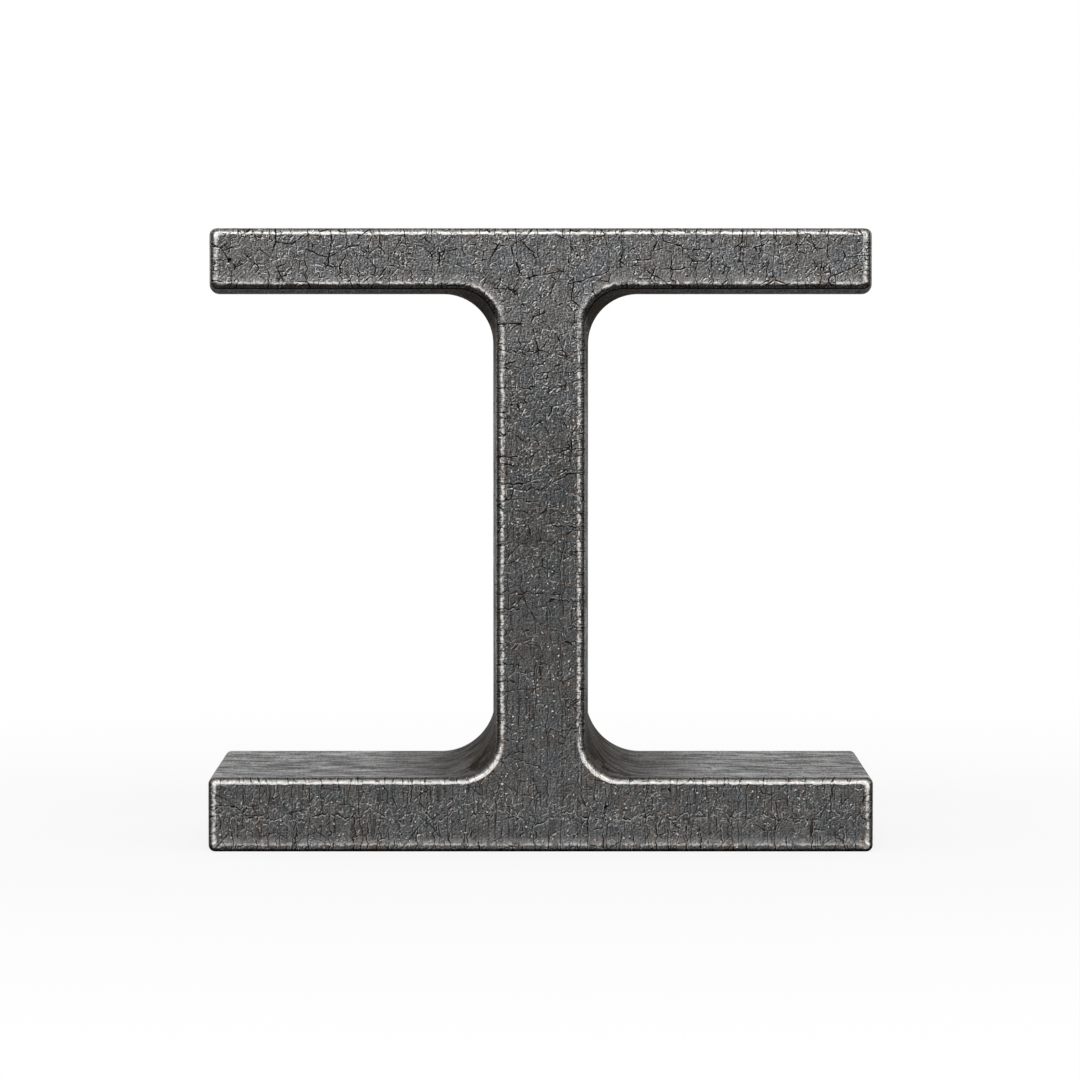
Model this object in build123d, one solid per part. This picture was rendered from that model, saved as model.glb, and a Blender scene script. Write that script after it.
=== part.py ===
"""A short length of heavy rolled steel I-beam, standing upright on its lower flange.

The beam is one piece of hot-rolled steel.  Its section lies in the XZ plane and the
rolling direction is Y.  Both ends are sawn square and their edges are dressed round.
The origin is the middle of the lower flange's outer face.
"""

import os

from build123d import *

# Overall sizes, in millimetres.
FLANGE_WIDTH = 100.0
SECTION_DEPTH = 93.7
BEAM_LENGTH = 50.0

# Thickness of each plate of the section.
TOP_FLANGE_THICKNESS = 9.9
BOTTOM_FLANGE_THICKNESS = 11.2
WEB_THICKNESS = 14.3

# Root fillets, where the web runs into each flange.
TOP_ROOT_RADIUS = 7.5
BOTTOM_ROOT_RADIUS = 8.6

# Long edges of the flange tips: the rolls leave those under the upper flange rounder.
TIP_OUTER_RADIUS = 1.0
TIP_SEAT_RADIUS = 0.95
TIP_SOFFIT_RADIUS = 1.5

# Dressed edge all round each sawn end, tighter than any flange tip.
END_EDGE_RADIUS = 0.9


def section_corners():
    """Each corner of the section as x, z and the radius that it is rounded to."""
    tip = FLANGE_WIDTH / 2
    web_side = WEB_THICKNESS / 2
    top_underside = SECTION_DEPTH - TOP_FLANGE_THICKNESS
    right_side = [
        (tip, SECTION_DEPTH, TIP_OUTER_RADIUS),
        (tip, top_underside, TIP_SOFFIT_RADIUS),
        (web_side, top_underside, TOP_ROOT_RADIUS),
        (web_side, BOTTOM_FLANGE_THICKNESS, BOTTOM_ROOT_RADIUS),
        (tip, BOTTOM_FLANGE_THICKNESS, TIP_SEAT_RADIUS),
        (tip, 0, TIP_OUTER_RADIUS),
    ]
    left_side = [(-x, z, radius) for x, z, radius in reversed(right_side)]
    return right_side + left_side


def beam_section():
    """The rolled section as one face, with its roots and flange tips rounded."""
    corners = section_corners()
    outline = FilletPolyline(
        *[(x, z) for x, z, _ in corners],
        radius=[radius for _, _, radius in corners],
        close=True,
    )
    return make_face(Plane.XZ * outline)


def i_beam():
    """The beam: its section run along the rolling direction, with both ends dressed."""
    bar = extrude(beam_section(), BEAM_LENGTH / 2, both=True)
    sawn_ends = bar.faces().filter_by(Axis.Y)
    return fillet(sawn_ends.edges(), END_EDGE_RADIUS)


os.makedirs("parts", exist_ok=True)
export_step(i_beam(), "parts/i_beam.step")
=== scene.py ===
"""The looks of a short length of heavy rolled steel I-beam, on a plain pale studio floor.

The beam is one piece of stock.  A finely divided skin stands for it, with the sawn ends
dressed round, the section a little tighter towards the front one, and a crazed mill
scale all over.  Lengths are in metres where nothing else is said.
"""

import logging
import math
from dataclasses import dataclass, field, fields, replace
from enum import Enum
from typing import Self

import bmesh
import bpy
from mathutils import Matrix, Vector, noise
from mathutils.kdtree import KDTree


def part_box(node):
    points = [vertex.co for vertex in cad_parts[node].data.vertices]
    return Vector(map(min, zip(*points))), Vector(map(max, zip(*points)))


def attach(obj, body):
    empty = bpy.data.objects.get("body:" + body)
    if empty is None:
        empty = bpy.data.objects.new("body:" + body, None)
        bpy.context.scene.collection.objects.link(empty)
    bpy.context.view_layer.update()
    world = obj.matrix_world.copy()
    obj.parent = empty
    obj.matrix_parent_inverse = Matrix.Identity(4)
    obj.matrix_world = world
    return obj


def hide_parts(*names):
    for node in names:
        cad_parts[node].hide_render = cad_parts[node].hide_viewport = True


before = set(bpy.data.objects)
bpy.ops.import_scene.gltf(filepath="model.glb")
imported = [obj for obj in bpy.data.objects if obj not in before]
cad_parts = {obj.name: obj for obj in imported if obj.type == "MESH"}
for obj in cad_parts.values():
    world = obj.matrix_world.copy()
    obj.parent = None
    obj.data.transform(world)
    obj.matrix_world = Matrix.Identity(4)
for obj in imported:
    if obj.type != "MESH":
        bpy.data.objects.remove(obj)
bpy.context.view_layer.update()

log = logging.getLogger("i_beam")

MM = 0.001
BEAM = "i_beam"
ROOT_CORNERS = (2, 3, 8, 9)
SHARED_SIZES = ("bottom_root", "top_root", "outer_tip", "seat_tip", "soffit_tip", "narrow")
TOUCHING = MM * MM
# LIT_SIDE is the offset towards the light, up and to the left, by which lit sides and shadows beside lines,
# specks and grit are painted.
LIT_SIDE = (-0.11, 0.13, 0.0)
WHITE = (1.0, 1.0, 1.0, 1.0)

# The mesh's map and the marks that its vertices carry for the finish.
PROFILE = "profile"
MARKS = ("hollow", "arris", "lean")

# Where the rolled surfaces' pattern starts behind the rim, and how far it and the back
# end's lie from the front end's, in millimetres.
ROLLED_FROM = 1.2
SIDE_SHIFT = 300.0
END_SHIFT = 61.0

# Heights in millimetres, from where a change along the height starts to where it is full.
UPWARDS = (25.0, 83.0)
DOWN_THE_WEB = (70.0, 30.0)
LOWER_HALF = (60.0, 30.0)
# TOP_FLANGE and BOTTOM_FLANGE place painted light on the end faces, lighter over the flanges than over the
# web.
TOP_FLANGE = (55.0, 86.0)
BOTTOM_FLANGE = (32.0, 12.0)
OFF_THE_FLOOR = (6.0, 20.0)

Socket = bpy.types.NodeSocket


class Stretch(Enum):
    """The two kinds of stretch that a section's outline is made of."""

    STRAIGHT = "straight"
    ARC = "arc"


class Feature(Enum):
    """What a Voronoi texture is asked for."""

    EDGE = "DISTANCE_TO_EDGE"
    POINT = "F1"


@dataclass(frozen=True)
class Station:
    """A place on the outline that every section of the beam has.

    Attributes:
        stretch: Whether the place is on a straight or on an arc.
        corner: The arc's corner, or the corner that the straight runs up to.
        share: How far along that stretch the place is, from 0 to 1.
        run: Distance round the square-cornered outline, from the middle of the base.
    """

    stretch: Stretch
    corner: int
    share: float
    run: float


@dataclass(frozen=True)
class Section:
    """One cross-section of the beam, in metres.

    Attributes:
        half_width: Half the width over the flanges.
        base, top: Heights of the lower and the upper flange's outer face.
        seat, soffit: Heights of their inner faces.
        half_web: Half the web's thickness.
        bottom_root, top_root: Radii where the web meets the flanges.
        outer_tip: Radius of every flange tip's outer edge.
        seat_tip, soffit_tip: Radii of the tips' inner edges, below and above.
        narrow: How much less half the width over the upper flange is.
    """

    half_width: float
    base: float
    top: float
    seat: float
    soffit: float
    half_web: float
    bottom_root: float
    top_root: float
    outer_tip: float
    seat_tip: float
    soffit_tip: float
    narrow: float = 0.0

    def blend(self, other: "Section", share: float) -> "Section":
        """The section that lies between this one and another.

        Args:
            other: The section at a share of 1.
            share: How far towards the other, from 0 to 1.

        Returns:
            A section with every size in between.
        """
        sizes = {}
        for size in fields(self):
            here = getattr(self, size.name)
            sizes[size.name] = here + (getattr(other, size.name) - here) * share
        return Section(**sizes)

    def corners(self) -> list[tuple[Vector, float]]:
        """The outline's square corners.

        Returns:
            Each as x and z with its radius, anticlockwise from the base's middle.
        """
        right = [
            (self.half_width, self.base, self.outer_tip),
            (self.half_width, self.seat, self.seat_tip),
            (self.half_web, self.seat, self.bottom_root),
            (self.half_web, self.soffit, self.top_root),
            (self.half_width - self.narrow, self.soffit, self.soffit_tip),
            (self.half_width - self.narrow, self.top, self.outer_tip),
        ]
        left = [(-x, z, radius) for x, z, radius in reversed(right)]
        return [(Vector((x, z)), radius) for x, z, radius in right + left]

    def _ways(self, index: int) -> tuple[Vector, Vector]:
        """The outline's directions at a corner.

        Args:
            index: The corner.

        Returns:
            The direction in to the corner and the direction on from it.
        """
        spots = [spot for spot, _ in self.corners()]
        before, corner, after = spots[index - 1], spots[index], spots[(index + 1) % len(spots)]
        return (corner - before).normalized(), (after - corner).normalized()

    def place(self, station: Station) -> Vector:
        """Where a station of the outline lies on this section.

        Args:
            station: The place on the outline.

        Returns:
            The point, as x and z.
        """
        corners = self.corners()
        corner, radius = corners[station.corner]
        before, radius_before = corners[station.corner - 1]
        inward, onward = self._ways(station.corner)
        if station.stretch is Stretch.ARC:
            turn = station.share * math.pi / 2
            centre = corner - inward * radius + onward * radius
            return centre - onward * radius * math.cos(turn) + inward * radius * math.sin(turn)
        start = before + inward * radius_before
        return start.lerp(corner - inward * radius, station.share)

    def lean(self, station: Station) -> float:
        """How far the surface at a station faces upwards, from -1 to 1.

        Args:
            station: The place on the outline.

        Returns:
            The upward part of the direction that the surface faces.
        """
        inward, onward = self._ways(station.corner)
        if station.stretch is Stretch.STRAIGHT:
            return -inward.x
        turn = station.share * math.pi / 2
        return -inward.x * math.cos(turn) - onward.x * math.sin(turn)


@dataclass(frozen=True)
class Course:
    """One ring of the mesh round the beam.

    Attributes:
        depth: Distance behind the end face.
        reach: Distance over the surface from the end face's rim.
        section: The section at that depth, or the lip's on the dressed edge.
        dressed: How far over the dressed edge it lies, from 0 to 1 at the lip.
    """

    depth: float
    reach: float
    section: Section
    dressed: float = 1.0


@dataclass(frozen=True)
class End:
    """How one end of the beam is finished.

    Attributes:
        lip: The section where the dressed edge ends.
        inset: How far the flat end face keeps inside the lip.
        sharp: Radius of the flat end face's outward corners.
        dressing: Radius of the dressed edge.
        swell: Distance from the end at which the section reaches the body's.
        ragged: How unevenly the dressing was done, as a share of the inset.
        ripple: Length of its larger unevenness.
    """

    lip: Section
    inset: float = 1.1 * MM
    sharp: float = 0.3 * MM
    dressing: float = 1.15 * MM
    swell: float = 5.5 * MM
    ragged: float = 0.16
    ripple: float = 2.3 * MM

    def spot(self, station: Station, share: float) -> Vector:
        """Where a station lies on the dressed edge.

        Args:
            station: The place on the outline.
            share: How far from the flat face's rim to the lip, from 0 to 1.

        Returns:
            The point, as x and z.
        """
        lip = self.lip.place(station)
        inward = self.face.place(station) - lip
        slow = noise.noise(Vector((station.run / self.ripple, lip.x / MM, 7.0)))
        quick = noise.noise(Vector((station.run / self.ripple * 3.1, lip.y / MM, 19.0)))
        return lip + inward * (1 - share) * (1 + self.ragged * (slow + 0.7 * quick))

    @property
    def face(self) -> Section:
        """The outline of the flat end face.

        Returns:
            The section that it fills.
        """
        lip = self.lip
        return Section(
            half_width=lip.half_width - self.inset,
            base=lip.base + self.inset,
            top=lip.top - 0.83 * self.inset,
            seat=lip.seat - 0.78 * self.inset,
            soffit=lip.soffit + 0.8 * self.inset,
            half_web=lip.half_web - self.inset,
            bottom_root=lip.bottom_root + 0.9 * self.inset,
            top_root=lip.top_root + 0.9 * self.inset,
            outer_tip=self.sharp,
            seat_tip=self.sharp,
            soffit_tip=self.sharp,
            narrow=lip.narrow,
        )


@dataclass
class HalfSkin:
    """The beam's skin from one end, turned to the front, to mid-length.

    It is a mesh of four-sided faces, fine enough to carry relief.

    Attributes:
        body: The section of the bar itself.
        end: The end's finish.
        half_length: Half the beam's length.
        flange_cells: Faces across each half of a flange, outside the web.
        web_cells: Faces across the web, an even number.
        base_cells, rise_cells, head_cells: Faces through the lower flange, up the web
            between the flanges and through the upper flange.
        dressing_rings, swell_rings, body_rings: Rings on the dressed edge, where the
            section swells and from there to the middle of the length.
        settle_rounds: How often the end face's grid is smoothed.
        settle_reach: How far from the rim the grid follows it.
        hollow_fade: Distance from a root's middle over which its shelter fades.
        arris_fade: Distance beside a flange tip's edge over which its wear fades.
        work: The mesh that is being made.
        stations: The rim's places on the outline, in order from the base's middle.
    """

    body: Section
    end: End
    half_length: float
    flange_cells: int = 94
    web_cells: int = 32
    base_cells: int = 25
    rise_cells: int = 160
    head_cells: int = 22
    dressing_rings: int = 6
    swell_rings: int = 8
    body_rings: int = 14
    settle_rounds: int = 120
    settle_reach: float = 9 * MM
    # hollow_fade: Distance from a root's middle over which its shelter, and the painted shade there, fades.
    hollow_fade: float = 19 * MM
    arris_fade: float = 1.2 * MM
    work: bmesh.types.BMesh = field(default_factory=bmesh.new)
    stations: list = field(default_factory=list)

    def make(self) -> bpy.types.Mesh:
        """Builds the half.

        Returns:
            Its mesh, open at mid-length.
        """
        self._lay_face()
        self._walk_rim()
        self._fit_face()
        self._draw_rings()
        self._mark_places()
        mesh = bpy.data.meshes.new("half")
        self.work.to_mesh(mesh)
        self.work.free()
        return mesh

    def _lay_face(self) -> None:
        """Lays the end face as an even grid with square corners."""
        body, work = self.body, self.work
        columns = [-body.half_width, -body.half_web, body.half_web, body.half_width]
        rows = [body.base, body.seat, body.soffit, body.top]
        bmesh.ops.create_grid(work, x_segments=3, y_segments=3, size=1.5)
        middles = [(cell, cell.calc_center_median()) for cell in work.faces]
        beside_web = [cell for cell, middle in middles if abs(middle.y) < 0.5 < abs(middle.x)]
        bmesh.ops.delete(work, geom=beside_web, context="FACES")
        for vertex in work.verts:
            column, row = round(vertex.co.x + 1.5), round(vertex.co.y + 1.5)
            vertex.co = Vector((columns[column], -self.half_length, rows[row]))
        across = (self.flange_cells, self.web_cells, self.flange_cells)
        upward = (self.base_cells, self.rise_cells, self.head_cells)
        for axis, lines, counts in ((0, columns, across), (2, rows, upward)):
            for low, high, cells in zip(lines, lines[1:], counts):
                spanning = [edge for edge in work.edges if self._spans(edge, axis, low, high)]
                bmesh.ops.subdivide_edges(work, edges=spanning, cuts=cells - 1, use_grid_fill=True)

    @staticmethod
    def _spans(edge: bmesh.types.BMEdge, axis: int, low: float, high: float) -> bool:
        """Whether an edge runs just from low to high along an axis."""
        ends = sorted(vertex.co[axis] for vertex in edge.verts)
        return abs(ends[0] - low) < TOUCHING and abs(ends[1] - high) < TOUCHING

    def _walk_rim(self) -> None:
        """Numbers the rim's vertices and finds where each is on the outline."""
        number = self.work.verts.layers.int.new("station")
        rim = [vertex for vertex in self.work.verts if vertex.is_boundary]
        ring = [min(rim, key=lambda vertex: vertex.co.z + abs(vertex.co.x))]
        run = 0.0
        while ring[-1] is not ring[0] or len(ring) == 1:
            last = ring[-1]
            last[number] = len(ring)
            self.stations.append(self._station(run))
            nexts = [e.other_vert(last) for e in last.link_edges if e.is_boundary]
            if len(ring) == 1:
                ring.append(max(nexts, key=lambda vertex: vertex.co.x))
            else:
                ring.append(next(vertex for vertex in nexts if vertex is not ring[-2]))
            run += (ring[-1].co - last.co).length

    def _station(self, run: float) -> Station:
        """Turns a distance round the square-cornered outline into a station.

        Args:
            run: The distance from the base's middle, anticlockwise.

        Returns:
            The station there.
        """
        corners = self.body.corners()
        reached = corners[0][0].x
        places = [reached]
        for index in range(1, len(corners)):
            reached += (corners[index][0] - corners[index - 1][0]).length
            places.append(reached)
        whole = reached + corners[0][0].x
        last = places[-1]
        start = last - whole + corners[-1][1]
        for lap, place in enumerate(places + [whole + places[0]]):
            corner = lap % len(corners)
            radius = corners[corner][1]
            if abs(run - place) <= radius:
                return Station(Stretch.ARC, corner, (run - place + radius) / (2 * radius), run)
            if run < place:
                return Station(Stretch.STRAIGHT, corner, (run - start) / (place - radius - start), run)
            start = place + radius

    def _fit_face(self) -> None:
        """Draws the square-cornered grid to the end face's rounded outline."""
        work = self.work
        number = work.verts.layers.int["station"]
        tree = KDTree(len(self.stations))
        shifts = {}
        for vertex in work.verts:
            if vertex[number]:
                spot = self.end.spot(self.stations[vertex[number] - 1], 0.0)
                shifts[vertex[number]] = Vector((spot.x, -self.half_length, spot.y)) - vertex.co
                tree.insert(vertex.co, vertex[number])
        tree.balance()
        for vertex in work.verts:
            _, nearest, distance = tree.find(vertex.co)
            hold = max(0.0, 1 - distance / self.settle_reach)
            vertex.co += shifts[nearest] * hold * hold
        inner = [vertex for vertex in work.verts if not vertex[number]]
        for _ in range(self.settle_rounds):
            bmesh.ops.smooth_vert(work, verts=inner, factor=0.5, use_axis_x=True, use_axis_z=True)

    def _courses(self) -> list[Course]:
        """Every ring from the end face's rim to the middle of the length.

        Returns:
            The rings in order, without the rim itself.
        """
        end = self.end
        courses = []
        for ring in range(1, self.dressing_rings + 1):
            turn = ring / self.dressing_rings * math.pi / 2
            depth = end.dressing * (1 - math.cos(turn))
            courses.append(Course(depth, end.dressing * turn, end.lip, math.sin(turn)))
        reach = courses[-1].reach
        for ring in range(1, self.swell_rings + 1):
            share = ring / self.swell_rings
            depth = end.dressing + (end.swell - end.dressing) * share
            section = end.lip.blend(self.body, share * share * (3 - 2 * share))
            courses.append(Course(depth, reach + depth - end.dressing, section))
        for ring in range(1, self.body_rings + 1):
            depth = end.swell + (self.half_length - end.swell) * ring / self.body_rings
            courses.append(Course(depth, reach + depth - end.dressing, self.body))
        return courses

    def _draw_rings(self) -> None:
        """Draws the rim back to the middle of the length, ring by ring."""
        work = self.work
        number = work.verts.layers.int["station"]
        reach_layer = work.verts.layers.float.new("reach")
        rim = [edge for edge in work.edges if edge.is_boundary]
        for course in self._courses():
            drawn = bmesh.ops.extrude_edge_only(work, edges=rim)["geom"]
            for vertex in drawn:
                if isinstance(vertex, bmesh.types.BMVert):
                    station = self.stations[vertex[number] - 1]
                    spot = course.section.place(station)
                    if course.dressed < 1:
                        spot = self.end.spot(station, course.dressed)
                    vertex.co = Vector((spot.x, course.depth - self.half_length, spot.y))
                    vertex[reach_layer] = course.reach
            rim = [edge for edge in drawn if isinstance(edge, bmesh.types.BMEdge) and edge.is_boundary]

    def _mark_places(self) -> None:
        """Gives every place its map and its marks for the finish.

        The map's u is the distance round the outline and its v the distance over the
        surface from the rim, negative on the end faces, both in millimetres.  The marks
        say how far a place lies in a root's shelter, how near it is to a flange tip's
        edge and how far it leans upwards.
        """
        layers = self.work.verts.layers
        number, reach_layer = layers.int["station"], layers.float["reach"]
        marks = [layers.float.new(name) for name in MARKS]
        shares = self._shares()
        tree = KDTree(len(self.stations))
        for index, station in enumerate(self.stations):
            spot = self.end.face.place(station)
            tree.insert(Vector((spot.x, 0.0, spot.y)), index)
        tree.balance()
        places = {}
        for vertex in self.work.verts:
            index, reach = vertex[number] - 1, vertex[reach_layer]
            if index < 0:
                _, index, distance = tree.find(Vector((vertex.co.x, 0.0, vertex.co.z)))
                reach = -distance
            places[vertex] = (self.stations[index].run, reach)
            for mark, share in zip(marks, shares[index]):
                vertex[mark] = share
        self._lay_map(places)

    def _shares(self) -> list[tuple[float, float, float]]:
        """The three marks of every station.

        Returns:
            For each, its share of a root's shelter, of a tip's edge and of facing up.
        """
        arcs = [s for s in self.stations if s.stretch is Stretch.ARC]
        roots = [s.run for s in arcs if s.corner in ROOT_CORNERS and 0.4 < s.share < 0.6]
        tips = [s.run for s in arcs if s.corner not in ROOT_CORNERS]
        shares = []
        for station in self.stations:
            from_root = min(abs(station.run - run) for run in roots) / self.hollow_fade
            from_tip = min(abs(station.run - run) for run in tips) / self.arris_fade
            shares.append((max(0.0, 1 - from_root), max(0.0, 1 - from_tip), self.body.lean(station)))
        return shares

    def _lay_map(self, places: dict) -> None:
        """Writes the map's u and v.

        Args:
            places: Every vertex with its distance round the outline and from the rim.
        """
        whole = self.stations[-1].run + self.stations[1].run
        laid = self.work.loops.layers.uv.new(PROFILE)
        for skin_face in self.work.faces:
            runs = [places[vertex][0] for vertex in skin_face.verts]
            split = max(runs) - min(runs) > whole / 2
            for loop in skin_face.loops:
                run, reach = places[loop.vert]
                if split and run < whole / 2:
                    run += whole
                loop[laid].uv = (run / MM, reach / MM)


class NodeBench:
    """Lays and joins the nodes of one tree, which it empties first.

    Attributes:
        tree: The node tree that is being filled.
    """

    def __init__(self, tree: bpy.types.NodeTree) -> None:
        """Starts on a tree."""
        tree.nodes.clear()
        self.tree = tree

    def add(self, kind: str, *values: object, **settings: object) -> bpy.types.Node:
        """Adds a node.

        Args:
            kind: The node's type name.
            *values: What its inputs are fed, in order, with None for those left alone.
            **settings: Properties to set on it.

        Returns:
            The new node.
        """
        node = self.tree.nodes.new(kind)
        for name, value in settings.items():
            setattr(node, name, value)
        for target, value in zip(node.inputs, values):
            if value is not None:
                self.feed(target, value)
        return node

    def feed(self, target: Socket, value: object) -> None:
        """Joins a signal to an input, or writes a plain value there.

        Args:
            target: The input.
            value: The signal or the plain value.
        """
        if isinstance(value, Signal):
            self.tree.links.new(value.socket, target)
        else:
            target.default_value = value

    def plane(self, across: "Number", along: "Number") -> "Point":
        """Joins two numbers to a point on a plane."""
        return Point(self, self.add("ShaderNodeCombineXYZ", across, along).outputs[0])

    def cells(self, where: "Signal", scale: float, feature: Feature) -> bpy.types.Node:
        """Adds a Voronoi texture.

        Args:
            where: A point on a plane, or one number where it runs along a line.
            scale: Cells for each unit.
            feature: What it measures.

        Returns:
            The node.
        """
        on_line = isinstance(where, Number)
        fed = (None, where, scale) if on_line else (where, None, scale)
        settings = {"feature": feature.value, "voronoi_dimensions": "1D" if on_line else "2D"}
        return self.add("ShaderNodeTexVoronoi", *fed, **settings)

    def tint(self, share: object, base: object, over: object, blend: str = "MIX") -> "Signal":
        """Mixes two colours.

        Args:
            share: How much of the second shows.
            base: The first colour.
            over: The second colour.
            blend: How they are mixed.

        Returns:
            The mixed colour.
        """
        fed = (share, *[None] * 5, base, over)
        node = self.add("ShaderNodeMix", *fed, data_type="RGBA", blend_type=blend)
        return Signal(self, node.outputs[2])

    def finish(self, kind: str, shader: bpy.types.Node) -> None:
        """Joins a shader to a new output of a kind."""
        self.add(kind, Signal(self, shader.outputs[0]))


def new_material(name: str) -> tuple[bpy.types.Material, NodeBench]:
    """Adds a material.

    Args:
        name: The material's name.

    Returns:
        The material and the bench of its empty tree.
    """
    material = bpy.data.materials.new(name)
    material.use_nodes = True
    return material, NodeBench(material.node_tree)


@dataclass(frozen=True)
class Signal:
    """Something that a tree works out for every point that it shades.

    Attributes:
        bench: The bench that its nodes are laid on.
        socket: The output that it leaves its node by.
    """

    bench: NodeBench
    socket: Socket

    def put(self, operation: str, *others: object) -> Self:
        """This, and others after it, put through a Math node of its kind."""
        node = self.bench.add(self.KIND, self, *others, operation=operation)
        return type(self)(self.bench, node.outputs[0])

    def __add__(self, other: object) -> Self:
        """The sum of the two."""
        return self.put("ADD", other)

    def __sub__(self, other: object) -> Self:
        """This less the other."""
        return self.put("SUBTRACT", other)

    def __mul__(self, other: object) -> Self:
        """The product of the two, part by part."""
        return self.put("MULTIPLY", other)


class Number(Signal):
    """A number, which is reckoned with like a plain one."""

    KIND = "ShaderNodeMath"

    def larger(self, other: object) -> "Number":
        """The larger of the two."""
        return self.put("MAXIMUM", other)

    def size(self) -> "Number":
        """This number without its sign."""
        return self.put("ABSOLUTE")

    def opposite(self) -> "Number":
        """1 less this number."""
        return self * -1.0 + 1.0

    def band(self, low: float, high: float) -> "Number":
        """A smooth step from 0 at low to 1 at high, where low may be the larger.

        Args:
            low: Where the step is 0.
            high: Where the step is 1.

        Returns:
            The step.
        """
        limits = (min(low, high), max(low, high), float(low > high), float(low < high))
        node = self.bench.add("ShaderNodeMapRange", self, *limits, interpolation_type="SMOOTHSTEP")
        return Number(self.bench, node.outputs["Result"])

    def between(self, low: object, high: object) -> "Number":
        """The number at this share of the way from low to high."""
        node = self.bench.add("ShaderNodeMix", self, None, low, high, data_type="FLOAT")
        return Number(self.bench, node.outputs[0])

    def crown(self, start: float, full: float, fade: float, end: float) -> "Number":
        """A hump that rises from start to full and falls from fade to end."""
        return self.band(start, full) * self.band(end, fade)

    def groove(self, core: float) -> "Number":
        """1 in the bottom of a groove whose half width is core, by the distance from its middle."""
        return self.band(core * 1.6, core * 0.7)


class Point(Signal):
    """A point or a vector in three numbers."""

    KIND = "ShaderNodeVectorMath"

    def length(self) -> Number:
        """The vector's length."""
        node = self.bench.add("ShaderNodeVectorMath", self, operation="LENGTH")
        return Number(self.bench, node.outputs["Value"])

    def parts(self) -> list[Number]:
        """Its three numbers."""
        node = self.bench.add("ShaderNodeSeparateXYZ", self)
        return [Number(self.bench, output) for output in node.outputs]

    def waves(self, scale: float, detail: float, rough: float, space: str) -> bpy.types.Node:
        """A soft noise, of scale waves a unit, with finer layers so many and so strong."""
        fed = (self, None, scale, detail, rough)
        return self.bench.add("ShaderNodeTexNoise", *fed, noise_dimensions=space)

    def noise(self, scale: float, detail: float = 2.0, rough: float = 0.5, space: str = "2D") -> Number:
        """The noise's value, from 0 to 1 with its middle at 0.5."""
        return Number(self.bench, self.waves(scale, detail, rough, space).outputs[0])

    def stray(self, scale: float, amount: float) -> "Point":
        """This point pushed about on its plane, in waves of a scale, over a width of amount."""
        push = Point(self.bench, self.waves(scale, 1.0, 0.5, "2D").outputs["Color"])
        return self + (push - (0.5, 0.5, 0.5)) * (amount, amount, 0.0)


@dataclass(frozen=True)
class Places:
    """Where a point of the steel lies, with lengths in millimetres.

    Attributes:
        spot: The point in the beam's own axes.
        flat: The point as it lies on an end face, or unrolled on the long surfaces.
        skin: Its distance round the outline and its place along the length.
        rise: Its height over the floor.
        run: Its distance round the outline.
        reach: Its distance over the surface from the rim, negative on an end face.
        hollow: How far it lies in a root's shelter.
        arris: How near it is to a flange tip's edge.
        lean: How far its part of the outline faces upwards, from -1 to 1.
    """

    spot: Point
    flat: Point
    skin: Point
    rise: Number
    run: Number
    reach: Number
    hollow: Number
    arris: Number
    lean: Number

    @classmethod
    def read(cls, bench: NodeBench) -> "Places":
        """Reads the places from the mesh.

        Args:
            bench: The bench of the tree that is being filled.

        Returns:
            The places.
        """
        spot = Point(bench, bench.add("ShaderNodeTexCoord").outputs["Object"]) * (1 / MM, 1 / MM, 1 / MM)
        across, along, rise = spot.parts()
        run, reach, _ = Point(bench, bench.add("ShaderNodeUVMap", uv_map=PROFILE).outputs[0]).parts()
        rolled = reach.put("GREATER_THAN", ROLLED_FROM)
        own = along.put("SIGN") * END_SHIFT + across
        flat = bench.plane(rolled.between(own, run), rolled.between(rise, along + SIDE_SHIFT))
        nodes = [bench.add("ShaderNodeAttribute", attribute_name=name) for name in MARKS]
        marks = [Number(bench, node.outputs["Fac"]) for node in nodes]
        return cls(spot, flat, bench.plane(run, along), rise, run, reach, *marks)


@dataclass(frozen=True)
class Grain:
    """The patterns that colour, gloss and height share.

    Attributes:
        on_side: 1 on the rolled surfaces and 0 on the ends.
        lower: 1 on the beam's lower half.
        grit: Fine grit.
        slopes: The light on the grit's slopes.
        fibre: Upright grain.
        streak: Long streaks on the rolled surfaces, strongest on the lower flange.
    """

    on_side: Number
    lower: Number
    grit: Number
    slopes: Number
    fibre: Number
    streak: Number

    @classmethod
    def read(cls, places: Places) -> "Grain":
        """Lays the patterns out.

        Args:
            places: Where the points lie.

        Returns:
            The patterns.
        """
        flat, skin = places.flat, places.skin
        grit = flat.noise(3.4, 2.0, 0.6)
        slopes = grit - (flat + LIT_SIDE).noise(3.4, 2.0, 0.6)
        fibre = (flat * (3.4, 0.16, 1.0)).noise(1.0, 2.0, 0.6)
        broad = (skin * (0.11, 0.3, 1.0)).noise(1.0, 4.0, 0.7)
        thin = (skin * (0.17, 0.8, 1.0)).noise(1.0, 3.0, 0.65)
        lower = places.rise.band(*LOWER_HALF)
        seat = places.lean.band(0.5, 0.9) * lower
        streak = (thin * 0.8 + broad * 0.6 - 0.7) * seat.between(0.35, 1.15) + 0.5
        return cls(places.reach.band(1.6, 3.0), lower, grit, slopes, fibre, streak)


@dataclass(frozen=True)
class Relief:
    """Fine relief in the scale, from 0 to 1, which also places painted light and shade.

    Attributes:
        low: 1 in the bottom of a crack or a furrow, and in a painted shadow beside a speck or welt.
        high: 1 on a lip, crest or speck, on its side towards the light: a painted highlight, also lifted in
            the bump.
    """

    low: Number
    high: Number

    def joined(self, other: "Relief") -> "Relief":
        """This relief and another together."""
        return Relief(self.low.larger(other.low), self.high.larger(other.high))

    def turned(self) -> "Relief":
        """This relief with its grooves as welts, which are shaded on the other side."""
        return Relief(self.high, self.low)

    def held(self, low: object, high: object = None) -> "Relief":
        """This relief with a share of its strength, or a share for each of its two."""
        return Relief(self.low * low, self.high * (low if high is None else high))


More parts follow.
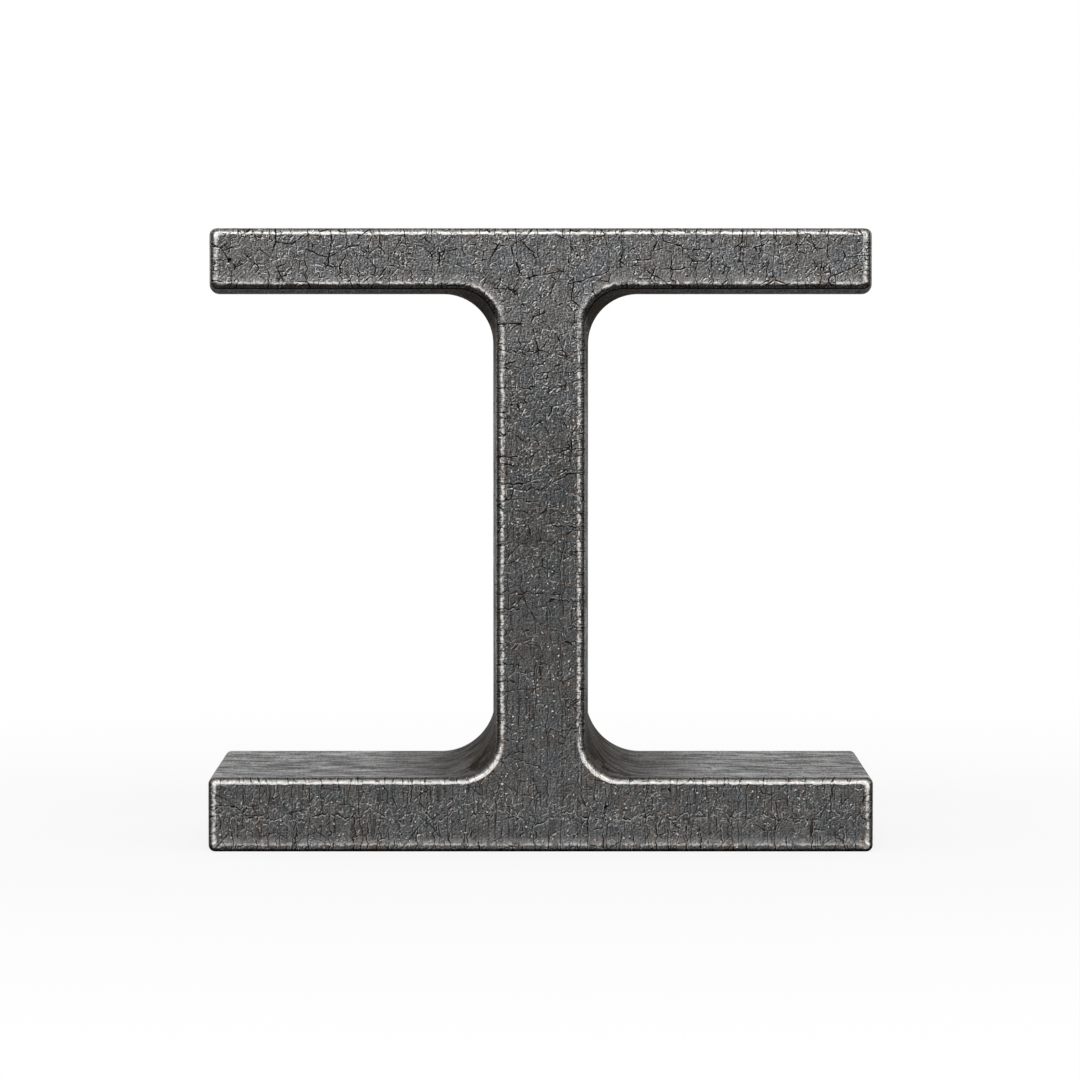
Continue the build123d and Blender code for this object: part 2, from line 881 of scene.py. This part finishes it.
@dataclass(frozen=True)
class Patches:
    """Soft patches.

    Attributes:
        waves: Waves of their noise for each millimetre.
        low, high: Levels of the noise where they start and where they are full.
        detail, rough: How many finer layers the noise has, and how strong they are.
    """

    waves: float
    low: float
    high: float
    detail: float = 2.0
    rough: float = 0.5

    def lay(self, where: Point) -> Number:
        """Adds the patches to a tree, as 1 inside them and 0 outside."""
        return where.noise(self.waves, self.detail, self.rough).band(self.low, self.high)


@dataclass(frozen=True)
class Craze:
    """One net of lines in the scale, each with a side that catches the light.

    Attributes:
        cell: Width of the plates of scale between its lines, in millimetres.
        core: Half the width of a line.
        bends: Waves for each millimetre and width of each bend of its lines.
        patch: Size of the patches that it shows in.
        shown: Level of the patches' noise from which it shows.
        squeeze: How much the net is drawn together across and upwards.
        offset: Where in the endless net the steel lies.
    """

    cell: float
    core: float
    bends: tuple
    patch: float
    shown: float
    squeeze: tuple = (1.0, 1.0, 1.0)
    offset: tuple = (0.0, 0.0, 0.0)

    def lay(self, where: Point) -> Relief:
        """Adds the net to a tree.

        Args:
            where: Coordinates in millimetres.

        Returns:
            Its grooves, each with a painted highlight on the side towards the light, which narrow to
            nothing where a patch ends.
        """
        where = where + self.offset
        hidden = Patches(1 / self.patch, self.shown + 0.06, self.shown - 0.02, 1.0).lay(where)
        bent = where * self.squeeze
        for scale, amount in self.bends:
            bent = bent.stray(scale, amount)
        sides = []
        for spot in (bent, bent + LIT_SIDE):
            edges = where.bench.cells(spot, 1 / self.cell, Feature.EDGE).outputs["Distance"]
            away = Number(where.bench, edges) * self.cell + hidden * (2 * self.core)
            sides.append(away.groove(self.core))
        return Relief(*sides)


@dataclass(frozen=True)
class Tracks:
    """Lines side by side, unevenly apart.

    Attributes:
        away: Distance from the nearest line.
        chance: A number from 0 to 1 for each line.
        beside: 1 on the side of a line that catches the light.
    """

    away: Number
    chance: Number
    beside: Number

    @classmethod
    def lay(cls, where: Number, apart: float) -> "Tracks":
        """Adds the lines to a tree.

        Args:
            where: The place across the lines.
            apart: Their usual distance apart.

        Returns:
            The lines.
        """
        bench = where.bench
        cell = bench.cells(where, 1 / apart, Feature.POINT).outputs
        away = Number(bench, cell["Distance"]) * apart
        beside = (where - Number(bench, cell["W"])).put("GREATER_THAN", 0.0)
        return cls(away, Point(bench, cell["Color"]).parts()[0], beside)


@dataclass(frozen=True)
class Nicks:
    """Short cracks that cross the dressed edge and die out on the face.

    Attributes:
        apart: Their usual distance apart, in millimetres.
        longest: How far the longest runs onto the face.
        skew: How rare the long ones are.
        core: Half the width of a crack's bottom.
        lit: How bright the side is that catches the light.
    """

    apart: float
    longest: float
    skew: float
    core: float
    lit: float = 0.22

    def lay(self, places: Places) -> Relief:
        """Adds the cracks to a tree.

        Args:
            places: Where the points lie.

        Returns:
            The cracks.
        """
        core = self.core
        lines = Tracks.lay(places.flat.noise(0.9) * (0.3 * self.apart) + places.run, self.apart)
        length = lines.chance.put("POWER", self.skew) * self.longest
        ended = (places.reach + length).band(0.1, -0.5)
        ended = ended.larger(places.reach.band(1.7, 2.4)).larger(places.arris)
        away = ended * (4 * core) + lines.away
        lip = away.crown(core, core * 1.9, core * 2.2, core * 3.6)
        return Relief(away.groove(core), lip * lines.beside * self.lit)


@dataclass(frozen=True)
class MillScaleSteel:
    """Dark, crazed mill scale on rolled steel, worn bright along the dressed edges, with painted highlights
    and painted shade in its colour.

    Attributes:
        cool, warm: Colours of the scale where it is bluish and where it is brownish.
        bare_and_highlight, painted_highlight: Colours of worn steel on the dressed edges, partly a painted
            highlight, and of painted highlights on lips, crests and specks.
        rust, crack: Colours of rust, and of the bottom of a crack and the painted shadow beside a speck or
            welt.
        shade_and_film_colour, root_shade: Colours of painted shade on the edges and of dark film on the
            sides, and of painted shade in the roots.
        splits, plates, crumbs, curls: The nets, from the long cracks to the small welts.
        nicks, ticks: The long and the short cracks that cross the dressed edge.
        tones, blots: Where the scale is brownish, and where it is darker.
        crowds, deep, lit: Where bits crowd, and cracks and their lit sides are strong.
        broken: Where the lit sides of cracks aren't broken off.
        stains, flecks: Where it rusts, and where it does so away from cracks too.
        crack_depth, lip_height: Depth of a crack and height of lips, in millimetres.
        grit_height, fibre_height, streak_height: Heights of the shared patterns.
        dull, metal, gloss: Roughness of painted shade, dark film, crack bottoms and painted shadows, and
            how metallic and glossy clean scale is.
        brightest: How much lighter than its colour the scale may get.
    """

    cool: tuple = (0.0845, 0.087, 0.0895, 1.0)
    warm: tuple = (0.0885, 0.087, 0.085, 1.0)
    bare_and_highlight: tuple = (0.97, 0.94, 0.90, 1.0)
    painted_highlight: tuple = (0.88, 0.86, 0.83, 1.0)
    rust: tuple = (0.120, 0.070, 0.038, 1.0)
    shade_and_film_colour: tuple = (0.008, 0.0065, 0.005, 1.0)
    root_shade: tuple = (0.048, 0.038, 0.027, 1.0)
    crack: tuple = (0.0085, 0.0055, 0.0035, 1.0)
    splits: Craze = Craze(5.0, 0.07, ((0.2, 1.5), (0.8, 0.32), (2.2, 0.11)), 3.4, 0.46, (0.8, 1.0, 1.0))
    plates: Craze = Craze(2.6, 0.07, ((0.45, 0.7), (1.4, 0.2), (3.0, 0.09)), 1.5, 0.49)
    crumbs: Craze = Craze(1.25, 0.065, ((0.9, 0.3), (3.0, 0.09)), 0.7, 0.52, offset=(41.0, 13.0, 0.0))
    curls: Craze = Craze(1.05, 0.05, ((1.0, 0.28), (3.0, 0.09)), 0.55, 0.54, offset=(83.0, 37.0, 0.0))
    nicks: Nicks = Nicks(2.6, 7.0, 2.0, 0.06)
    ticks: Nicks = Nicks(1.0, 0.6, 0.8, 0.05)
    tones: Patches = Patches(0.14, 0.38, 0.62)
    blots: Patches = Patches(0.8, 0.60, 0.74, 3.0, 0.6)
    broken: Patches = Patches(2.4, 0.50, 0.60, 1.0)
    crowds: Patches = Patches(0.35, 0.42, 0.58)
    deep: Patches = Patches(0.6, 0.35, 0.60)
    lit: Patches = Patches(0.8, 0.42, 0.64)
    stains: Patches = Patches(0.38, 0.54, 0.65, 3.0, 0.6)
    flecks: Patches = Patches(2.0, 0.54, 0.62, 2.0, 0.6)
    crack_depth: float = 0.10
    lip_height: float = 0.04
    grit_height: float = 0.06
    fibre_height: float = 0.04
    streak_height: float = 0.14
    dull: float = 0.95
    metal: float = 0.9
    gloss: float = 0.15
    brightest: float = 5.0

    def make(self, name: str) -> bpy.types.Material:
        """Builds the material.

        Args:
            name: The material's name.

        Returns:
            The new material.
        """
        material, bench = new_material(name)
        shader = bench.add("ShaderNodeBsdfPrincipled")
        bench.finish("ShaderNodeOutputMaterial", shader)
        places = Places.read(bench)
        grain = Grain.read(places)
        wear_and_highlight, shade_and_film = self._edges(places, grain)
        relief = self._relief(places, grain).held((wear_and_highlight * grain.lower.between(0.35, 0.6)).opposite())
        # Painted shade in the roots, fading away from each root's middle, in streaks.
        shelter = places.hollow * places.reach.band(1.0, 1.6)
        root_shade = shelter * grain.streak.band(0.4, 0.6).between(0.6, 0.92)

        # Over the scale's colour go painted highlights, worn steel that is partly a painted highlight,
        # crack bottoms and painted shadows, painted shade in the roots, then painted shade and dark film.
        colour = self._rusted(places, relief, self._scale_colour(places, grain))
        layers = ((relief.high, self.painted_highlight), (wear_and_highlight, self.bare_and_highlight), (relief.low, self.crack))
        for share, over in layers + ((root_shade, self.root_shade), (shade_and_film, self.shade_and_film_colour)):
            colour = bench.tint(share, colour, over)

        dull = relief.low.larger(shade_and_film).larger(root_shade)
        smear = (grain.streak - 0.5) * grain.on_side
        polish = grain.grit * 0.3 + smear * 0.8 + 0.27
        height = relief.high * self.lip_height - relief.low * self.crack_depth
        height += grain.grit * self.grit_height + grain.fibre * self.fibre_height
        height += grain.streak * grain.on_side * self.streak_height
        bump = bench.add("ShaderNodeBump")
        for label, value in {"Strength": 1.0, "Distance": MM, "Height": height}.items():
            bench.feed(bump.inputs[label], value)
        # Painted highlights are made less metallic, so that they stay bright.
        fed = {
            "Base Color": colour,
            "Roughness": dull.between(polish, self.dull),
            "Specular IOR Level": dull.between(self.gloss, 0.0),
            "Metallic": dull.larger(relief.high * 0.8).between(self.metal, 0.0),
            "Normal": Signal(bench, bump.outputs[0]),
        }
        for label, value in fed.items():
            bench.feed(shader.inputs[label], value)
        return material

    def _relief(self, places: Places, grain: Grain) -> Relief:
        """The nets, the bits, the specks, the lines and the cracks that cross the dressed edge.

        Args:
            places: Where the points lie.
            grain: The shared patterns.

        Returns:
            The whole relief.
        """
        flat, on_side = places.flat, grain.on_side
        upper = places.rise.band(*UPWARDS)
        broken = self.broken.lay(flat).between(0.15, 1.0)
        cracks = self.splits.lay(flat).held(1.0, 0.6).joined(self.plates.lay(flat))
        cracks = cracks.held(upper.between(0.75, 1.15), broken * upper.between(0.8, 1.4))
        cracks = cracks.held(self.deep.lay(flat).between(0.5, 1.1), self.lit.lay(flat).between(0.1, 0.9))

        chain = (places.rise + flat.noise(0.12, 1.0) * 6.0 - 9.0).size().band(2.6, 0.6)
        crowd = self.crowds.lay(flat).between(0.1, 1.0).larger(chain * 0.75)
        pale = upper.larger(chain).between(0.4, 0.8) * broken.between(0.75, 1.3)
        bits = self.crumbs.lay(flat).joined(self.curls.lay(flat).turned()).held(crowd)
        bits = bits.held(0.85, pale).held(upper.between(0.6, 1.15)).joined(self._specks(flat))

        scores = self._scores(places).held(upper.between(0.9, 0.4)).held(on_side.opposite())
        relief = cracks.joined(scores).joined(bits).joined(self._seams(places))
        relief = relief.held(on_side.between(1.0, 0.8)).joined(self.nicks.lay(places))
        sideways = places.lean.size().band(0.7, 0.3)
        return relief.joined(self.ticks.lay(places).held(sideways * 0.7))

    @staticmethod
    def _seams(places: Places) -> Relief:
        """A broken crack that wanders along the middle of the lower flange.

        Args:
            places: Where the points lie.

        Returns:
            The crack.
        """
        wander = (places.flat * (0.2, 0.02, 1.0)).noise(1.0, 4.0, 0.62) - 0.5
        middle = wander * 7.0 + places.rise - 5.4
        crack, lip = ((middle + shift).size().band(0.14, 0.06) for shift in (0.0, 0.18))
        return Relief(crack, lip * 0.35).held(places.flat.noise(0.8).band(0.46, 0.52))

    @staticmethod
    def _scores(places: Places) -> Relief:
        """Fine upright lines that come and go on the ends.

        Args:
            places: Where the points lie.

        Returns:
            The lines.
        """
        sway = places.flat.noise(0.25) * 1.6 + places.flat.parts()[0]
        lines = Tracks.lay(sway, 1 / 0.65)
        along = sway.bench.plane(lines.chance * 40.0, places.rise * 0.17)
        lip = lines.away.crown(0.06, 0.1, 0.12, 0.19) * lines.beside
        return Relief(lines.away.band(0.075, 0.03), lip * 0.12).held(along.noise(1.0, 1.0).band(0.52, 0.58))

    @staticmethod
    def _specks(flat: Point) -> Relief:
        """Small painted highlights, as specks that crowd in places, each with a painted shadow on its side
        away from the light.

        Args:
            flat: The points as they lie on an end face.

        Returns:
            The specks.
        """
        bent = flat.stray(1.1, 0.5).stray(3.6, 0.3)
        grains = flat.bench.cells(bent, 1.3, Feature.POINT).outputs
        chance, strength, _ = Point(flat.bench, grains["Color"]).parts()
        crowd = (flat * (0.8, 0.25, 1.0)).noise(1.0).band(0.46, 0.66)
        chosen = chance.put("LESS_THAN", crowd.between(0.01, 0.5)) * strength.between(0.5, 1.7)
        from_middle = bent - Point(flat.bench, grains["Position"])
        shifts = ((0.0, 0.0, 0.0), (-0.13, 0.15, 0.0))
        bright, dark = ((from_middle + shift).length().band(0.13, 0.05) * chosen for shift in shifts)
        return Relief(dark * 0.8, bright)

    @staticmethod
    def _edges(places: Places, grain: Grain) -> tuple[Number, Number]:
        """What the dressed edge shows: worn steel on its crown, partly a painted highlight, and painted
        shade at its foot and below.

        Args:
            places: Where the points lie.
            grain: The shared patterns.

        Returns:
            1 where the steel is worn or painted as a highlight, and the share of painted shade and dark
            film.
        """
        ragged = places.spot.noise(1.6, 3.0, 0.6, "3D") - 0.5
        beads = places.spot.noise(1.5, 3.0, 0.6, "3D").band(0.38, 0.56)
        upward, downward = places.lean.band(0.1, 0.6), places.lean.band(-0.1, -0.4)
        steady, rough = ragged * 0.25 + places.reach, ragged * 0.75 + places.reach
        bend = places.hollow.band(0.6, 0.95)
        lofty = places.rise.band(*OFF_THE_FLOOR)
        widened = steady * bend.between(1.0, 0.7) * grain.lower.between(1.0, 0.85) + grain.lower * 0.08

        # Worn steel on the crown, which is also a painted highlight: widest and brightest on edges that
        # face up, beaded on the sides, thin on edges that face down, bright at the tips' corners.
        top = widened.crown(-0.06, 0.05, 0.28, 0.52) * beads.between(0.86, 1.0)
        top = top.larger(steady.crown(0.3, 0.45, 0.8, 1.1) * lofty.between(0.3, 0.12))
        side = rough.crown(-0.18, 0.1, 0.32, 0.58) * beads.between(0.1, 0.75) * lofty.between(0.84, 1.0)
        under = rough.crown(-0.4, -0.12, 0.0, 0.18) * beads.between(0.1, 0.8) * lofty.between(0.6, 1.0)
        corner = rough.crown(-0.3, 0.05, 0.4, 0.7) * places.arris * downward.between(1.0, 0.2)
        # A faint, jagged painted highlight on the face just above edges that face down.
        glow = rough.crown(-1.5, -0.2, 0.0, 0.2) * beads.between(0.06, 0.2) * downward
        wear_and_highlight = downward.between(upward.between(side, top), under).larger(corner).larger(glow)

        # Painted shade in the crease at the dressed edge's foot, and on edges that face down, darkest near
        # the floor as a painted contact shadow.
        foot = steady.crown(0.6, 0.9, 1.15, 1.5) * upward.between(0.7, 0.35)
        steep = (steady.band(0.0, 0.5) * 0.85).larger(steady.band(0.5, 1.3))
        shade = lofty.between(steady.band(0.42, 0.94), steep) * steady.band(2.0, 2.5).between(1.0, 0.58)
        # Streaks of dark film on the rolled surfaces.
        film = grain.streak.band(0.43, 0.60) * grain.on_side * 0.5
        return wear_and_highlight, downward.between(foot, shade).larger(film)

    def _scale_colour(self, places: Places, grain: Grain) -> Signal:
        """The scale's colour, with painted light: lighter on the upper flange's end, and on rolled surfaces
        that face up.

        Args:
            places: Where the points lie.
            grain: The shared patterns.

        Returns:
            The colour.
        """
        flat, bench = places.flat, places.flat.bench
        down = places.rise.band(*DOWN_THE_WEB)
        grit, fibre = grain.grit - 0.5, grain.fibre - 0.5
        # The grit's slopes add painted light and shade, as lit from LIT_SIDE.
        face = grit * down.between(2.7, 2.0) + grain.slopes * down.between(2.0, 1.0)
        face += fibre * down.between(0.8, 1.0) - grain.fibre.band(0.37, 0.31) * down.between(0.3, 0.7)
        face += (flat.noise(0.5, 3.0) - 0.5) * 0.8 - self.blots.lay(flat) * 0.6
        # Painted light: the upper flange's end face lighter, as lit from above; the lower flange's a little
        # lighter than the web's.
        face += places.rise.band(*TOP_FLANGE) * 0.53 + places.rise.band(*BOTTOM_FLANGE).between(0.06, 0.19)
        # Painted light: rolled surfaces lighter where they face up, most near the end.
        near = (places.reach.band(22.0, 1.0) * 0.5 + 0.55) * places.lean.band(0.3, 0.9)
        side = near + (grain.streak - 0.5) * 2.5 + grit * 2.0 + fibre * 1.8
        shade = grain.on_side.between(face, side).put("EXPONENT").put("MINIMUM", self.brightest)
        return bench.tint(1.0, bench.tint(self.tones.lay(flat), self.cool, self.warm), shade, "MULTIPLY")

    def _rusted(self, places: Places, relief: Relief, colour: Signal) -> Signal:
        """Adds small rust stains beside cracks and on edges.

        Args:
            places: Where the points lie.
            relief: The relief.
            colour: The colour so far.

        Returns:
            The colour with rust.
        """
        near = (places.reach.crown(-1.4, -0.1, 1.2, 2.4) * 0.6).larger(relief.low)
        stain = self.stains.lay(places.flat)
        share = (stain * near.between(0.05, 0.7)).larger(self.flecks.lay(places.flat) * stain * 0.5)
        return colour.bench.tint(share, colour, self.rust)


@dataclass(frozen=True)
class Beam:
    """The steel beam: its sizes, its skin and its finish.

    Attributes:
        soffit_thickness, seat_thickness: Thicknesses of the upper and the lower flange.
        web: Thickness of the web.
        top_root, bottom_root: Radii of the upper and the lower roots.
        outer_tip, seat_tip, soffit_tip: Radii of the tips' edges, as a section has them.
        narrow: How much less half the width over the upper flange is.
        lip_web, lip_soffit, lip_narrow: How far the web's sides, the upper flange's inner
            face and its tips draw in towards the front lip.
        lip_top_root, lip_bottom_root, lip_soffit_tip: Radii at the front lip.
        finish: The steel's finish.
    """

    soffit_thickness: float = 9.9 * MM
    seat_thickness: float = 11.2 * MM
    web: float = 14.3 * MM
    top_root: float = 7.5 * MM
    bottom_root: float = 8.6 * MM
    outer_tip: float = 1.0 * MM
    seat_tip: float = 0.95 * MM
    soffit_tip: float = 1.5 * MM
    narrow: float = 0.15 * MM
    lip_web: float = 0.5 * MM
    lip_soffit: float = 0.8 * MM
    lip_narrow: float = 0.35 * MM
    lip_top_root: float = 5.9 * MM
    lip_bottom_root: float = 5.8 * MM
    lip_soffit_tip: float = 1.2 * MM
    finish: MillScaleSteel = field(default_factory=MillScaleSteel)

    def make(self) -> bpy.types.Object:
        """Builds the beam's skin round the frame's own box and dresses it.

        Returns:
            The beam.
        """
        low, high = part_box(BEAM)
        alike = {name: getattr(self, name) for name in SHARED_SIZES}
        body = Section(
            half_width=high.x,
            base=low.z,
            top=high.z,
            seat=low.z + self.seat_thickness,
            soffit=high.z - self.soffit_thickness,
            half_web=self.web / 2,
            **alike,
        )
        lip = replace(
            body,
            soffit=body.soffit + self.lip_soffit,
            half_web=body.half_web - self.lip_web,
            bottom_root=self.lip_bottom_root,
            top_root=self.lip_top_root,
            soffit_tip=self.lip_soffit_tip,
            narrow=body.narrow + self.lip_narrow,
        )
        beam = self._joined("beam", [HalfSkin(body, end, high.y) for end in (End(lip), End(body))])
        beam.data.materials.append(self.finish.make("mill_scale_steel"))
        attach(beam, "root")
        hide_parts(BEAM)
        return beam

    @staticmethod
    def _joined(name: str, halves: list[HalfSkin]) -> bpy.types.Object:
        """Joins two halves of the skin at mid-length.

        Args:
            name: The object's name.
            halves: The front half and the back half.

        Returns:
            The new object, linked to the scene, at the origin.
        """
        whole = bmesh.new()
        for half in halves:
            mesh = half.make()
            whole.from_mesh(mesh)
            bpy.data.meshes.remove(mesh)
            bmesh.ops.scale(whole, vec=(1.0, -1.0, 1.0), verts=whole.verts)
        bmesh.ops.remove_doubles(whole, verts=whole.verts, dist=TOUCHING)
        bmesh.ops.recalc_face_normals(whole, faces=whole.faces)
        for skin_face in whole.faces:
            skin_face.smooth = True
        mesh = bpy.data.meshes.new(name)
        whole.to_mesh(mesh)
        whole.free()
        beam = bpy.data.objects.new(name, mesh)
        bpy.context.scene.collection.objects.link(beam)
        return beam


@dataclass(frozen=True)
class Lamp:
    """A soft rectangular lamp that points at the beam.

    Attributes:
        name: The lamp's name.
        offset: Its place from the beam's middle.
        size: Its width and height.
        power: Its power in watts.
    """

    name: str
    offset: tuple
    size: tuple
    power: float

    def make(self, centre: tuple) -> None:
        """Adds the lamp.

        Args:
            centre: The place that it points at.
        """
        light = bpy.data.lights.new(self.name, "AREA")
        light.shape = "RECTANGLE"
        light.size, light.size_y = self.size
        light.energy = self.power
        lamp = bpy.data.objects.new(self.name, light)
        away = Vector(self.offset)
        lamp.location = Vector(centre) + away
        lamp.rotation_euler = away.to_track_quat("Z", "Y").to_euler()
        lamp.visible_camera = False
        bpy.context.scene.collection.objects.link(lamp)


@dataclass(frozen=True)
class Studio:
    """Plain pale floor, white surround and soft lights.

    Attributes:
        centre: Middle of the beam, which the lamps point at.
        lamps: The lamps.
        fill: Strength of the surround's light, where the surround isn't seen.
        floor_size, floor_colour: Width and colour of the floor.
        floor_white: How much of the floor is plain white, at the least.
        shadow_ends: Distances from the beam's middle between which the floor turns white.
        card_size, card_place, card_colour: Width, middle and colour of the grey card.
    """

    centre: tuple = (0.0, 0.0, 0.047)
    lamps: tuple = (
        Lamp("key", (0.0, -0.71, 0.97), (0.8, 0.4), 4.5),
        Lamp("left", (-0.83, -0.86, 0.0), (0.25, 0.8), 1.6),
        Lamp("right", (0.83, -0.86, 0.0), (0.25, 0.8), 1.6),
    )
    fill: float = 0.6
    floor_size: float = 8.0
    floor_colour: tuple = (0.92, 0.92, 0.92, 1.0)
    floor_white: float = 0.83
    shadow_ends: tuple = (0.06, 0.30)
    card_size: float = 2.0
    card_place: tuple = (0.0, -1.7, 0.5)
    card_colour: tuple = (0.35, 0.35, 0.36, 1.0)

    def make(self) -> None:
        """Sets up the surround, the floor, the card and the lamps."""
        self._surround()
        self._floor()
        self._card()
        for lamp in self.lamps:
            lamp.make(self.centre)

    def _surround(self) -> None:
        """Makes the world white where it is seen, and a soft fill light where it isn't."""
        world = bpy.data.worlds.new("surround")
        world.use_nodes = True
        bpy.context.scene.world = world
        bench = NodeBench(world.node_tree)
        strength = self._seen(bench).between(self.fill, 1.0)
        bench.finish("ShaderNodeOutputWorld", bench.add("ShaderNodeBackground", WHITE, strength))

    @staticmethod
    def _seen(bench: NodeBench) -> Number:
        """1 for the rays of the camera and of reflections, 0 for light that spreads.

        Args:
            bench: The bench of the tree that is being filled.

        Returns:
            The switch.
        """
        rays = bench.add("ShaderNodeLightPath").outputs
        names = ("Is Camera Ray", "Is Glossy Ray", "Is Transmission Ray")
        camera, glossy, through = (Number(bench, rays[name]) for name in names)
        return camera.larger(glossy).larger(through)

    @staticmethod
    def _board(name: str, size: float, place: Matrix) -> bpy.types.Object:
        """Adds a flat square piece.

        Args:
            name: The piece's name.
            size: Its width.
            place: Its place and turn, which go into its mesh.

        Returns:
            The piece.
        """
        work = bmesh.new()
        bmesh.ops.create_grid(work, x_segments=1, y_segments=1, size=size / 2)
        bmesh.ops.transform(work, matrix=place, verts=work.verts)
        mesh = bpy.data.meshes.new(name)
        work.to_mesh(mesh)
        work.free()
        board = bpy.data.objects.new(name, mesh)
        bpy.context.scene.collection.objects.link(board)
        return board

    def _floor(self) -> None:
        """Adds the floor, which keeps the beam's shadow and is white further off."""
        floor = self._board("floor", self.floor_size, Matrix())
        material, bench = new_material("pale_floor")
        matt = bench.add("ShaderNodeBsdfDiffuse", self.floor_colour)
        white = bench.add("ShaderNodeEmission", WHITE)
        away = Point(bench, bench.add("ShaderNodeTexCoord").outputs["Object"]).length()
        share = away.band(*self.shadow_ends) * (1 - self.floor_white) + self.floor_white
        mixed = bench.add("ShaderNodeMixShader", share * self._seen(bench))
        for target, shader in zip(mixed.inputs[1:], (matt, white)):
            bench.feed(target, Signal(bench, shader.outputs[0]))
        bench.finish("ShaderNodeOutputMaterial", mixed)
        floor.data.materials.append(material)

    def _card(self) -> None:
        """Hangs a grey card behind the camera, which the steel mirrors."""
        place = Matrix.Translation(self.card_place) @ Matrix.Rotation(math.pi / 2, 4, "X")
        card = self._board("card", self.card_size, place)
        material, bench = new_material("grey_card")
        bench.finish("ShaderNodeOutputMaterial", bench.add("ShaderNodeEmission", self.card_colour))
        card.data.materials.append(material)
        card.visible_camera = False


@dataclass(frozen=True)
class PhotoCamera:
    """The camera at the photograph's viewing angle.

    Attributes:
        lens_mm, sensor_mm: Focal length, and width of the sensor.
        distance: From the front end to the camera.
        sideways: The camera's place to the right of the beam's middle.
        height: The camera's height above the floor.
        pitch_degrees: How far it looks down.
        nearest: Distance from which it sees.
    """

    lens_mm: float = 191.8
    sensor_mm: float = 36.0
    distance: float = 0.862
    sideways: float = -0.0001
    height: float = 0.0873
    pitch_degrees: float = 2.677
    nearest: float = 0.01

    def make(self, front: float) -> None:
        """Adds the camera and makes it the scene's own.

        Args:
            front: Where the beam's front end is, along y.
        """
        data = bpy.data.cameras.new("photo_camera")
        data.lens = self.lens_mm
        data.sensor_width = self.sensor_mm
        data.clip_start = self.nearest
        camera = bpy.data.objects.new("photo_camera", data)
        camera.location = (self.sideways, front - self.distance, self.height)
        camera.rotation_euler = (math.radians(90 - self.pitch_degrees), 0.0, 0.0)
        bpy.context.scene.collection.objects.link(camera)
        bpy.context.scene.camera = camera


def main() -> None:
    """Builds the beam, the studio and the camera in turn."""
    logging.basicConfig(level=logging.INFO, format="%(message)s")
    bpy.context.scene.view_settings.view_transform = "Standard"
    beam = Beam().make()
    log.info("%s: %d faces", beam.name, len(beam.data.polygons))
    Studio().make()
    log.info("studio: floor, surround and lamps")
    PhotoCamera().make(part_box(BEAM)[0].y)
    log.info("camera: at the photograph's place")


if __name__ == "__main__":
    main()
